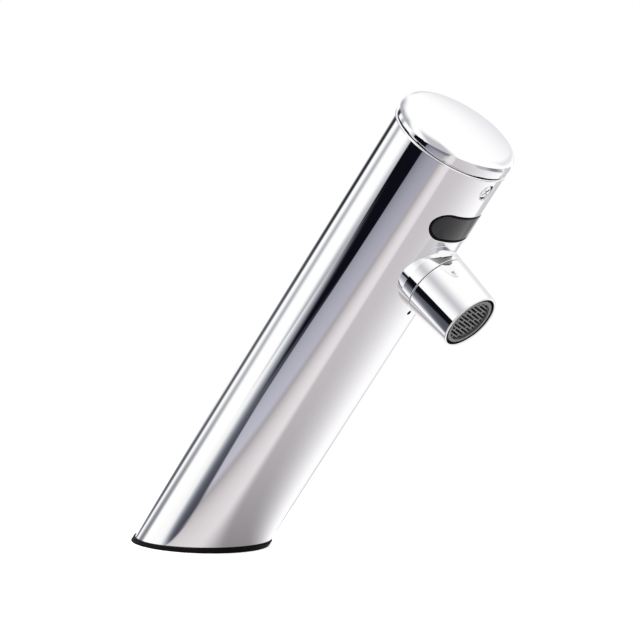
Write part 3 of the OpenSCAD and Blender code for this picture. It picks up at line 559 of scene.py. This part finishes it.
def deck_tones(x, y):
    """Linear colour of the deck at places in millimetres, as the chrome mirrors it, with a painted shadow of the
    part in it. Angles are in degrees.
    """
    def blend(under, over, mask):
        return under + (over - under) * mask[..., None]

    def past(place, way):
        """How far the points lie past a place along a way."""
        return (x - place[0]) * way[0] + (y - place[1]) * way[1]

    r = np.hypot(x, y)
    # Behind the deck's edge: dark near the edge, opening to the white panel as the view turns
    turn = np.degrees(np.arctan2(y, -(x + 27)))
    turns, levels = (0, 20, 28, 33, 37, 41, 45, 55), (60, 75, 90, 120, 155, 200, 240, 252)
    room = tint(np.interp(turn, turns, levels), 2, 12)
    limit = np.interp(r, (600, 900, 1200, 1800, 3000), (30, 31, 33, 35, 39))
    dark = smooth(r, 330, 520) * (1 - smooth(turn, limit - 3, limit + 3))
    room = blend(room, linear((13, 13, 22)), dark)
    # In front of it: a lilac shade that darkens with distance
    floor = tint(np.clip(204 - 0.13 * r, 120, 200), -1, 12, 400)
    # A mauve line, and pinkish light beyond it
    beyond = past((-93, -12), (0.7566, -0.6535))
    floor = blend(floor, linear((170, 165, 170)), smooth(beyond, -30, 0))
    light = tint(np.interp(beyond, (0, 18, 32, 46, 62), (170, 190, 205, 216, 226)), -5, -3, 400)
    floor = blend(floor, light, smooth(beyond, 0, 12))
    # A painted shadow of the part, which fades to the right
    beyond = past((-22, -24), (0.842, -0.54))
    fan = np.degrees(np.arctan2(x - 2, -(y + 20)))
    painted_shade = tint(200 - 110 * np.exp(-r / 55), -4, 0, 400)
    painted_shade = blend(painted_shade, linear((254, 253, 254)), smooth(fan, -30, 60))
    floor = blend(floor, painted_shade, smooth(beyond, -6, 9))
    # Greys far to the right, which draw the tube's right edge
    floor = blend(floor, linear((205, 204, 207)), smooth(fan, 59, 65) * smooth(r, 265, 315))
    floor = blend(floor, linear((190, 190, 194)), smooth(fan, 74, 100) * smooth(x, 0, 40))
    # The deck's edge, as the y where it lies at each -x
    edge_x = (50, 82, 128, 190, 268, 328, 380, 430, 520, 700, 1500)
    edge_y = (2, 8, 25, 52, 85, 95, 92, 80, 70, 55, 20)
    edge = np.interp(-x, edge_x, edge_y)
    soft = 2 + 0.012 * r
    floor = blend(floor, room, smooth(y - edge, -soft, soft))
    # Greys behind the part and at its front right, which only other views see mirrored
    around = np.degrees(np.arctan2(x, -y)) % 360
    for low, high, near, rgb in ((138, 202, 260, (150, 151, 159)), (160, 186, 300, (92, 93, 102)),
                                 (2, 56, 420, (176, 177, 184)), (24, 44, 460, (128, 129, 138))):
        wall = smooth(around, low - 6, low + 6) * (1 - smooth(around, high - 6, high + 6))
        floor = blend(floor, linear(rgb), wall * smooth(r, near, near * 1.4))
    return floor


def paint(mesh, tones):
    """Keeps a colour at each point of a mesh for its material."""
    layer = mesh.attributes.new("tone", "FLOAT_COLOR", "POINT")
    rgba = np.ones((len(mesh.vertices), 4))
    rgba[:, :3] = tones
    layer.data.foreach_set("color", rgba.ravel())


def deck():
    """The floor: white to the camera but for a faint shadow. Mirrors see light and shade painted into the deck's
    tones, which glow.
    """
    # A fine grid near the part, and rows further and further apart out to 4 m
    near_end, spacing = 240, 4.0
    near = np.arange(-near_end, near_end + 1, spacing)
    far = near_end * np.geomspace(1.05, 17, 56)
    steps = np.concatenate([-far[::-1], near, far])
    x, y = np.meshgrid(steps, steps)
    count = len(steps)
    mesh = bpy.data.meshes.new("deck")
    index = np.arange(count * count).reshape(count, count)
    quads = np.stack([index[:-1, :-1], index[:-1, 1:], index[1:, 1:], index[1:, :-1]], -1).reshape(-1, 4)
    places = np.stack([x.ravel() * MM, y.ravel() * MM, np.full(count * count, -DECK_GAP * MM)], -1)
    mesh.from_pydata(places.tolist(), [], quads.tolist())
    paint(mesh, deck_tones(x, y).reshape(-1, 3))
    obj = bpy.data.objects.new("deck", mesh)
    scene.collection.objects.link(obj)
    material = bpy.data.materials.new("deck")
    mesh.materials.append(material)
    n = Nodes(material)
    ray = n.add("ShaderNodeLightPath").outputs
    # To the camera: a lifted white that keeps the part's shadow, and plain white further out
    matt = n.add("ShaderNodeBsdfDiffuse", {"Color": colour((0.8, 0.8, 0.8))})
    lift = n.add("ShaderNodeEmission", {"Color": colour((1, 1, 1)), "Strength": 0.62})
    shaded = n.add("ShaderNodeAddShader", {0: matt.outputs[0], 1: lift.outputs[0]})
    white = n.add("ShaderNodeEmission", {"Color": colour((1, 1, 1)), "Strength": 1.0})
    where = n.add("ShaderNodeTexCoord").outputs["Object"]
    distance = n.add("ShaderNodeVectorMath", {0: where}, operation="LENGTH").outputs["Value"]
    camera_look = n.blend(n.smooth(distance, 0.12, 0.3), shaded, white)
    plain = n.blend(ray["Is Camera Ray"], matt, camera_look)
    # To mirrors: the painted tones, which glow and hold a painted shadow of the part
    seen = n.add("ShaderNodeAttribute", attribute_name="tone").outputs["Color"]
    mirrored = n.add("ShaderNodeEmission", {"Color": seen, "Strength": MIRROR_LIFT})
    above = n.blend(ray["Is Glossy Ray"], plain, mirrored)
    # Clear from below, so that the foot shows
    below = n.add("ShaderNodeNewGeometry").outputs["Backfacing"]
    last = n.blend(below, above, n.add("ShaderNodeBsdfTransparent"))
    n.add("ShaderNodeOutputMaterial", {0: last.outputs[0]})


def lamp(name, place, size, power):
    """A soft square lamp that lights the part but isn't mirrored in it."""
    middle = Vector((0, -0.06, 0.08))
    data = bpy.data.lights.new(name, "AREA")
    data.size = size
    data.energy = power
    obj = bpy.data.objects.new(name, data)
    obj.location = place
    obj.rotation_euler = (middle - Vector(place)).to_track_quat("-Z", "Y").to_euler()
    obj.visible_glossy = False
    scene.collection.objects.link(obj)


camera()
studio_world()
deck()
lamp("key", (-0.5, -0.5, 1.1), 0.7, 7)
lamp("fill", (0.9, -0.5, 0.9), 0.8, 5)
lamp("back", (0.2, 0.9, 1.0), 0.8, 5)

finishes = {
    "chrome": chrome(),
    "brass": metal("brass", (0.80, 0.60, 0.28), 0.24),
    "copper": metal("copper", (0.86, 0.45, 0.30), 0.28),
    "steel": metal("steel", (0.66, 0.66, 0.67), 0.26),
    "bright_steel": metal("bright_steel", (0.95, 0.95, 0.94), 0.2),
    "rubber": moulded("rubber", (0.004, 0.004, 0.0045), 0.7, 0.00006, 1.2),
    "smoked_plastic": moulded("smoked_plastic", (0.0008, 0.0005, 0.002), 0.04, 0.000001, 1.6),
    "black_plastic": moulded("black_plastic", (0.02, 0.02, 0.022), 0.5),
    "dark_plastic": moulded("dark_plastic", (0.045, 0.045, 0.05), 0.48),
    "grey_plastic": moulded("grey_plastic", (0.12, 0.12, 0.124), 0.3),
    "white_plastic": moulded("white_plastic", (0.72, 0.71, 0.67), 0.4),
    "blue_plastic": moulded("blue_plastic", (0.05, 0.17, 0.42), 0.4),
    "board": moulded("board", (0.015, 0.12, 0.05), 0.3),
    "clear_lens": moulded("clear_lens", (0.5, 0.55, 0.65), 0.1),
    "coil": moulded("coil", (0.015, 0.018, 0.035), 0.35),
    # Painted shade: a near-black finish put on the walls of the window and weep hole and in the sleeve's mouth,
    # where shade falls
    "painted_shade": moulded("painted_mouth_shade", (0.006, 0.006, 0.007), 0.6),
}
# Each CAD node takes the finish of its slot, but the cap screw is brighter than the other steel
kinds = {row["node"]: row["material_slot"] for row in frame["record"]["subparts"]}
kinds["cap_screw"] = "bright_steel"
for name, obj in nodes.items():
    obj.data.materials.clear()
    obj.data.materials.append(finishes[kinds[name]])


# Pieces, in millimetres


def past_screw(a, b):
    """Whether the wall between two stations is straight and runs past the cap screw's height."""
    return a[0] == b[0] and min(a[1], b[1]) < SCREW_S < max(a[1], b[1])


def tube():
    """The leaning body, with its openings for the window, the cap screw, the weep hole and the spout."""
    skin = Skin()
    lean_sin, lean_cos = -FRONT.z, UP.z
    foot_end = -1000.0

    def foot(radius, angle):
        """Where the tube stands on its level pad."""
        return radius, (PAD_TOP + radius * cos(angle) * lean_sin) / lean_cos

    barrel = Turned(Vector(), UP, FRONT, 240, foot, foot_end)
    window_hole = Hole(skin, WINDOW_S, FRONT, stadium(30, 12.4))
    sink = Hole(skin, SCREW_S, FRONT, circle(3.5))
    screw = Hole(skin, SCREW_S, FRONT, circle(2.1))
    weep = Hole(skin, WEEP_S, FRONT, circle(1.0, 24))
    spout = Hole(skin, SPOUT_S, OUT, circle(SPOUT_BORE_R, 48))
    outer, inner = [], []
    # The walls of the window's and the weep hole's openings take the painted shade finish, a near-black stand-in
    # for the shade in them; the spout's stay chrome
    for hole, rounding, painted_shade in ((window_hole, 0.3, 1), (weep, 0.12, 1), (spout, 0.2, 0)):
        rim, mouth = hole.edge(TUBE_R, rounding)
        back, entries = hole.ring(BORE_R)
        hole.walls(mouth, back, -1, painted_shade)
        outer.append(rim)
        inner.append(entries)
    rim, mouth = sink.edge(TUBE_R, 0.25)
    outer.append(rim)
    seat, _ = sink.ring(TUBE_R, flat=SCREW_SEAT)
    sink.walls(mouth, seat)
    lip, _ = screw.ring(TUBE_R, flat=SCREW_SEAT)
    skin.band(seat, lip, [FRONT] * len(seat), [FRONT] * len(lip))
    back, entries = screw.ring(BORE_R)
    screw.walls(lip, back)
    inner.append(entries)

    def pierced(a, b):
        return (radians(60), outer if a[2] > 0 else inner) if past_screw(a, b) else None

    low = 144
    outline = [(TUBE_R, foot_end, 0), (TUBE_R, low, 0), (TUBE_R, TUBE_TOP_S, 0.8),
               (BORE_R, TUBE_TOP_S, 0.3), (BORE_R, low, 0), (BORE_R, foot_end, 0)]
    first, last = barrel.skin(skin, fillet(outline, False), False, pierced)
    down = [Vector((0, 0, -1))] * len(first)
    skin.band(first, last, down, down)
    skin.build("tube_shell", [finishes["chrome"], finishes["painted_shade"]], "chrome", "root", "body_tube")
    return barrel


def cap():
    """The domed cap with the skirt that the screw holds."""
    skin = Skin()
    turned = Turned(Vector(), UP, FRONT, 192)
    skirt_r, inner_r, low, base = 21.2, 17.2, 204.5, 217.3
    groove_r, groove_low, groove_high = 19.9, 213.61, 215.19
    shoulder_r, shoulder_s, bend, top = 20.4, 218.9, 4.6, 224.7
    # The crown's arc meets the shoulder's without a kink
    rise = top - shoulder_s
    crown = (shoulder_r ** 2 + rise ** 2 - bend ** 2) / (2 * (rise - bend))
    slope = atan2(shoulder_r, crown - rise)
    screw = Hole(skin, SCREW_S, FRONT, circle(2.05))
    near, near_entries = screw.ring(skirt_r)
    far, far_entries = screw.ring(inner_r)
    screw.walls(near, far)

    def pierced(a, b):
        return (radians(15), [near_entries if a[2] > 0 else far_entries]) if past_screw(a, b) else None

    under = [(0, shoulder_s, 0), (inner_r, shoulder_s, 0), (inner_r, low, 0.2), (skirt_r, low, 0.3),
             (skirt_r, groove_low, 0), (groove_r, groove_low, 0),
             (groove_r, groove_high, 0), (skirt_r, groove_high, 0),
             (skirt_r, base, 0), (TUBE_R, base, 0.35), (TUBE_R, shoulder_s, 0)]
    stations = fillet(under, False)
    steps = 20
    for k in range(steps + 1):
        a = (pi / 2 - slope) * k / steps
        stations.append((shoulder_r + bend * cos(a), shoulder_s + bend * sin(a), cos(a), sin(a)))
    for k in range(1, steps + 1):
        a = slope * (1 - k / steps)
        stations.append((crown * sin(a), top - crown + crown * cos(a), sin(a), cos(a)))
    turned.skin(skin, stations, False, pierced)
    skin.build("cap_shell", [finishes["chrome"]], "chrome", "root", "top_cap")


def window(barrel):
    """The smoked lens with its flange behind the wall, and the black seal round it."""
    skin = Skin()
    lens = Hole(skin, WINDOW_S, FRONT, stadium(27.9, 10.3))
    flange = Hole(skin, WINDOW_S, FRONT, stadium(33.2, 15.6))
    face_r, flange_r, back_r = 24.85, 21.3, 20.0
    rim, side = lens.edge(face_r, 0.35, -1)
    barrel.fill(skin, face_r, rim, [], 1)
    root, root_entries = lens.ring(flange_r)
    lens.walls(side, root, 1)
    rim, side = flange.edge(flange_r, 0.2, -1)
    barrel.fill(skin, flange_r, rim, [root_entries], 1)
    back, entries = flange.ring(back_r)
    flange.walls(side, back, 1)
    barrel.fill(skin, back_r, entries, [], -1)
    smoked = finishes["smoked_plastic"]
    skin.build("lens_shell", [smoked], "smoked_plastic", "root", "sensor_window")

    skin = Skin()
    outer = Hole(skin, WINDOW_S, FRONT, stadium(29.9, 12.3))
    inner = Hole(skin, WINDOW_S, FRONT, stadium(28.0, 10.4))
    face_r, back_r, rounding = 24.7, 21.35, 0.2
    outer_rim, outer_side = outer.edge(face_r, rounding, -1)
    inner_rim, inner_side = inner.edge(face_r, rounding)
    loops = [[entry[0] for entry in rim] for rim in (outer_rim, inner_rim)]
    out = [[barrel.radial(entry[1] / face_r) for entry in rim] for rim in (outer_rim, inner_rim)]
    skin.band(*loops, *out)
    outer_back, _ = outer.ring(back_r)
    inner_back, _ = inner.ring(back_r)
    outer.walls(outer_side, outer_back, 1)
    inner.walls(inner_side, inner_back, -1)
    skin.band(outer_back, inner_back, [-n for n in out[0]], [-n for n in out[1]])
    skin.build("seal_shell", [finishes["rubber"]], "rubber", "root", "window_seal")


def spout_r(height):
    """Radius of the spout's cone at a height above the outlet."""
    return 12.55 + 0.056 * height


def collar():
    """The spout's root on the tube, with the outside thread for the aerator's sleeve."""
    skin = Skin()
    recess_r, recess_top, mouth, front, cone_top = 9.4, 20.0, 14.2, 21.2, 26
    core, thread_low, thread_high = 10.55, 14.5, 20.7
    rear_end = 1000.0

    def meet(radius, angle):
        """Where the collar runs into the tube's wall. Its outside is a cone, which widens towards there."""
        height = SPOUT_REACH - TUBE_R
        cone = radius > 12
        for _ in range(6):
            radius = spout_r(height) if cone else radius
            start = OUTLET - OUT * SPOUT_REACH + turned.radial(angle) * radius
            height = SPOUT_REACH - (on_wall(start, OUT, TUBE_R) - start).length
        return radius, height

    turned = Turned(OUTLET, -OUT, SIDE, 144, meet, rear_end)
    inside = [(SPOUT_BORE_R, rear_end, 0), (SPOUT_BORE_R, recess_top, 0), (recess_r, recess_top, 0),
              (recess_r, mouth, 0.1), (core, mouth, 0.1), (core, thread_low, 0)]
    bore, start = turned.skin(skin, fillet(inside, False), False)
    outside = [(core, thread_high, 0), (core, front, 0.1), (spout_r(front), front, 0.25),
               (spout_r(cone_top), cone_top, 0), (spout_r(cone_top + 1), rear_end, 0)]
    stop, root = turned.skin(skin, fillet(outside, False), False)
    # A thread of 1 mm pitch that stands on the core and runs out at both ends
    pitch, depth, run_out, step = 1.0, 0.42, 0.8, 0.125
    rows = np.arange(thread_low + step, thread_high - step / 2, step)

    def ridge(height, angle):
        phase = (height / pitch - angle / (2 * pi)) % 1.0
        fade = min(1.0, (height - thread_low) / run_out, (thread_high - height) / run_out)
        return core + depth * max(0.0, fade) * (0.5 - 0.5 * cos(2 * pi * phase))

    def thread_normals(height):
        near = 0.01
        normals = []
        for a in turned.angles:
            climb = (ridge(height + near, a) - ridge(height - near, a)) / (2 * near)
            normals.append(turned.radial(a) + OUT * climb)
        return normals

    below, below_normals = start, thread_normals(thread_low)
    for height in rows:
        loop = skin.loop(turned.place(ridge(height, a), height, a) for a in turned.angles)
        normals = thread_normals(height)
        skin.band(below, loop, below_normals, normals)
        below, below_normals = loop, normals
    skin.band(below, stop, below_normals, thread_normals(thread_high))

    def wall_normals(loop):
        """The rear face lies on the tube's wall and looks at its axis."""
        places = [skin.points[i] for i in loop]
        return [UP * p.dot(UP) - p for p in places]

    last = root
    for radius in (11.5, 10.0, 8.5):
        ring = skin.loop(turned.place(radius, rear_end, a) for a in turned.angles)
        skin.band(last, ring, wall_normals(last), wall_normals(ring))
        last = ring
    skin.band(last, bore, wall_normals(last), wall_normals(bore))
    skin.build("collar_shell", [finishes["chrome"]], "chrome", "root", "spout_collar")


def sleeve():
    """The aerator's sleeve. Its mouth's groove carries painted shade, a near-black finish where shade falls."""
    skin = Skin()
    turned = Turned(OUTLET, -OUT, SIDE, 144)
    length, mouth_r, thread_r, lip_r, mouth_t, lip_l = 21.0, 11.55, 11.06, 10.56, 2.2, 3.4
    outline = [(mouth_r, 0, 0.45), (spout_r(0), 0, 0.45), (spout_r(length), length, 0.25),
               (thread_r, length, 0.15), (thread_r, lip_l, 0), (lip_r, lip_l, 0), (lip_r, mouth_t, 0.1),
               (mouth_r, mouth_t, 0.15)]

    # Faces in the mouth's groove take the painted shade finish
    def shaded(a, b):
        return int(max(a[0], b[0]) < mouth_r + 0.01 and 0.4 < max(a[1], b[1]) < mouth_t + 0.01)

    turned.skin(skin, fillet(outline, True), True, None, shaded)
    chrome_and_painted_shade = [finishes["chrome"], finishes["painted_shade"]]
    skin.build("sleeve_shell", chrome_and_painted_shade, "chrome", "aerator_sleeve", "aerator_housing")


def spring(name, node, axis, radius, wire, turns):
    """A coil spring along an axis, over the length of the node that it stands in for.

    The radius is that of the coil, and the wire's is given as wire.
    """
    skin = Skin()
    sides, steps = 10, 24
    across = (SIDE, axis.cross(SIDE))
    places = [v.co / MM for v in nodes[node].data.vertices]
    spans = [(min(p.dot(way) for p in places), max(p.dot(way) for p in places))
             for way in (*across, axis)]
    middle = across[0] * sum(spans[0]) / 2 + across[1] * sum(spans[1]) / 2
    low, high = spans[2]
    lead = high - low - 2 * wire
    last, last_normals = None, None
    for i in range(turns * steps + 1):
        a = 2 * pi * i / steps
        radial = across[0] * cos(a) + across[1] * sin(a)
        centre = middle + radial * radius + axis * (low + wire + lead * i / (turns * steps))
        way = (across[1] * cos(a) - across[0] * sin(a)) * 2 * pi * radius * turns + axis * lead
        way.normalize()
        second = way.cross(radial)
        normals = [radial * cos(b) + second * sin(b) for b in np.arange(sides) * 2 * pi / sides]
        loop = skin.loop(centre + normal * wire for normal in normals)
        if last:
            skin.band(last, loop, last_normals, normals)
        else:
            skin.face(loop, [-way] * sides)
        last, last_normals = loop, normals
    skin.face(last, [way] * sides)
    obj = skin.build(name, [finishes["steel"]], "steel", "root", node)
    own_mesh(obj)


window(tube())
cap()
collar()
sleeve()
spring("plunger_coil_spring", "plunger_spring", UP,
       radius=2.4, wire=0.25, turns=9)
spring("check_coil_spring", "check_spring", Vector((0, 0, 1)),
       radius=2.3, wire=0.3, turns=5)
